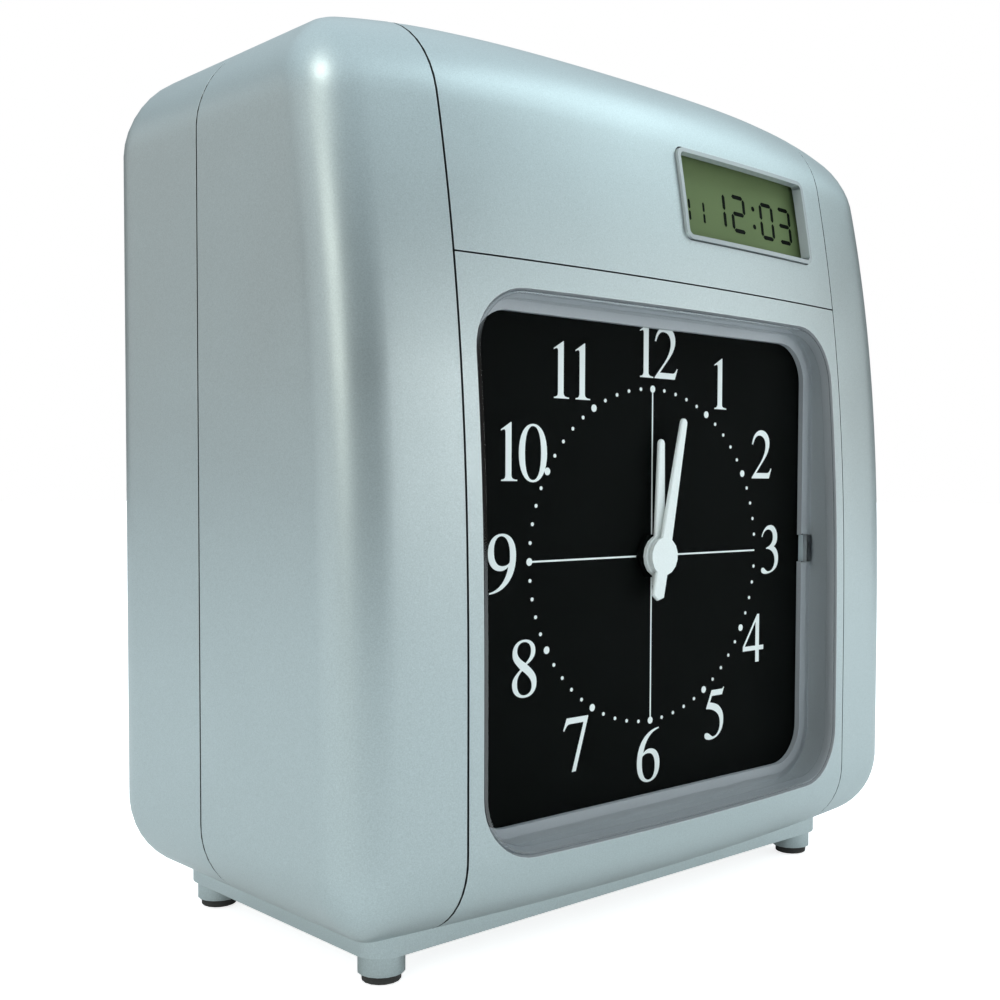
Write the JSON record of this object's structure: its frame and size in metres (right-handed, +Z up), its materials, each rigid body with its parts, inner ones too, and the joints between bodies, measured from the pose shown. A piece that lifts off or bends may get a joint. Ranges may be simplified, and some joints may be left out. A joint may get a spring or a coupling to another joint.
{
  "type": "time clock",
  "caption": "Compact card time recorder with a bowed, leaning front, an analogue dial behind a clear tray lens, a small display above it and a card slot in the top.",
  "frame": {"origin": "on the bench under the middle of the housing: halfway along its width and its depth, at the feet's lowest face", "axes": "+X to the right and +Y to the back as seen from the front, +Z up"},
  "size_m": [0.1966, 0.1124, 0.2155],
  "materials": {
    "silver_paint": "satin silver paint with a fine metallic flake",
    "clear_plastic": "clear polished acrylic",
    "display": "grey-green reflective liquid crystal panel",
    "circuit_board": "green solder resist",
    "white_plastic": "plain moulded plastic",
    "rubber": "matt dark grey rubber",
    "steel": "zinc-plated steel",
    "dial_black": "matt black with white print",
    "hand_grey": "light grey satin paint",
    "brass": "machined brass",
    "black_plastic": "plain black moulded plastic",
    "grey_plastic": "plain grey moulded plastic",
    "copper": "enamelled copper wire",
    "ribbon_fabric": "inked woven ribbon"
  },
  "bodies": {
    "chassis": {"rear_case": "silver_paint", "base_plate": "silver_paint", "foot_pad_1": "rubber", "foot_pad_2": "rubber", "foot_pad_3": "rubber", "foot_pad_4": "rubber", "case_screw_1": "steel", "case_screw_2": "steel", "case_screw_3": "steel", "case_screw_4": "steel", "clock_dial": "dial_black", "dial_nut": "brass", "movement_cover": "black_plastic", "movement_case": "black_plastic", "stepper_coil": "copper", "inner_frame": "steel", "card_guide_front": "black_plastic", "card_guide_rear": "black_plastic", "feed_motor": "steel", "guide_rod_lower": "steel", "guide_rod_upper": "steel", "carriage_motor": "steel", "ribbon_cartridge": "grey_plastic", "ink_ribbon": "ribbon_fabric", "platen": "steel", "display_board": "circuit_board", "lcd_module": "display", "main_board": "circuit_board", "backup_battery": "grey_plastic", "dc_inlet": "black_plastic"},
    "cover": {"front_cover": "silver_paint", "header_panel": "silver_paint", "dial_bezel": "silver_paint", "dial_window": "clear_plastic", "lcd_window": "clear_plastic", "lock_housing": "steel"},
    "lock": {"lock_barrel": "brass"},
    "minute_arbor": {"minute_hand": "hand_grey", "center_wheel": "brass"},
    "hour_pipe": {"hour_hand": "hand_grey", "hour_wheel": "brass"},
    "motion_wheel": {"minute_wheel": "white_plastic"},
    "rotor": {"stepper_rotor": "steel"},
    "carriage": {"print_carriage": "black_plastic", "print_head": "black_plastic"},
    "rack_pinion": {"carriage_pinion": "brass"},
    "feed_rollers": {"feed_shaft": "steel", "feed_gear": "white_plastic", "feed_roller_left": "rubber", "feed_roller_right": "rubber"},
    "motor_pinion": {"feed_pinion": "brass"},
    "pinch_rollers": {"pinch_roller": "white_plastic"},
    "button_1": {"setting_button_1": "white_plastic"},
    "button_2": {"setting_button_2": "white_plastic"},
    "button_3": {"setting_button_3": "white_plastic"},
    "button_4": {"setting_button_4": "white_plastic"}
  },
  "joints": [
    {"name": "cover_slide", "type": "slide", "parent": "chassis", "child": "cover", "axis": [0, -1, 0], "range_m": [0, 0.11]},
    {"name": "lock_turn", "type": "hinge", "parent": "cover", "child": "lock", "pos_m": [0.09, -0.012, 0.12], "axis": [1, 0, 0], "range_deg": [0, 90]},
    {"name": "minute_turn", "type": "hinge", "parent": "chassis", "child": "minute_arbor", "pos_m": [0, -0.0418, 0.0923], "axis": [0, 1, 0], "continuous": true},
    {"name": "hour_turn", "type": "hinge", "parent": "chassis", "child": "hour_pipe", "pos_m": [0, -0.0418, 0.0923], "axis": [0, 1, 0], "continuous": true},
    {"name": "motion_turn", "type": "hinge", "parent": "chassis", "child": "motion_wheel", "pos_m": [0, -0.036, 0.0803], "axis": [0, 1, 0], "continuous": true},
    {"name": "rotor_turn", "type": "hinge", "parent": "chassis", "child": "rotor", "pos_m": [0, -0.03, 0.1067], "axis": [0, 1, 0], "continuous": true},
    {"name": "carriage_slide", "type": "slide", "parent": "chassis", "child": "carriage", "axis": [1, 0, 0], "range_m": [-0.019, 0.019]},
    {"name": "rack_pinion_turn", "type": "hinge", "parent": "chassis", "child": "rack_pinion", "pos_m": [0, -0.0299, 0.146], "axis": [0, 1, 0], "range_deg": [-230, 230]},
    {"name": "feed_turn", "type": "hinge", "parent": "chassis", "child": "feed_rollers", "pos_m": [0, -0.0018, 0.188], "axis": [1, 0, 0], "continuous": true},
    {"name": "motor_pinion_turn", "type": "hinge", "parent": "chassis", "child": "motor_pinion", "pos_m": [0.059, 0.0126, 0.188], "axis": [1, 0, 0], "continuous": true},
    {"name": "pinch_turn", "type": "hinge", "parent": "chassis", "child": "pinch_rollers", "pos_m": [0, -0.0142, 0.188], "axis": [1, 0, 0], "continuous": true},
    {"name": "button_1_press", "type": "slide", "parent": "chassis", "child": "button_1", "axis": [0, 1, 0], "range_m": [0, 0.0006], "stiffness_N_per_m": 150, "springref_m": -0.001},
    {"name": "button_2_press", "type": "slide", "parent": "chassis", "child": "button_2", "axis": [0, 1, 0], "range_m": [0, 0.0006], "stiffness_N_per_m": 150, "springref_m": -0.001},
    {"name": "button_3_press", "type": "slide", "parent": "chassis", "child": "button_3", "axis": [0, 1, 0], "range_m": [0, 0.0006], "stiffness_N_per_m": 150, "springref_m": -0.001},
    {"name": "button_4_press", "type": "slide", "parent": "chassis", "child": "button_4", "axis": [0, 1, 0], "range_m": [0, 0.0006], "stiffness_N_per_m": 150, "springref_m": -0.001}
  ],
  "couplings": [
    {"joint": "hour_turn", "follows": "minute_turn", "ratio": 0.083333},
    {"joint": "motion_turn", "follows": "minute_turn", "ratio": -0.33333},
    {"joint": "rotor_turn", "follows": "minute_turn", "ratio": -5},
    {"joint": "rack_pinion_turn", "follows": "carriage_slide", "rad_per_m": 208.33},
    {"joint": "motor_pinion_turn", "follows": "feed_turn", "ratio": -3},
    {"joint": "pinch_turn", "follows": "feed_turn", "ratio": -1.4}
  ]
}
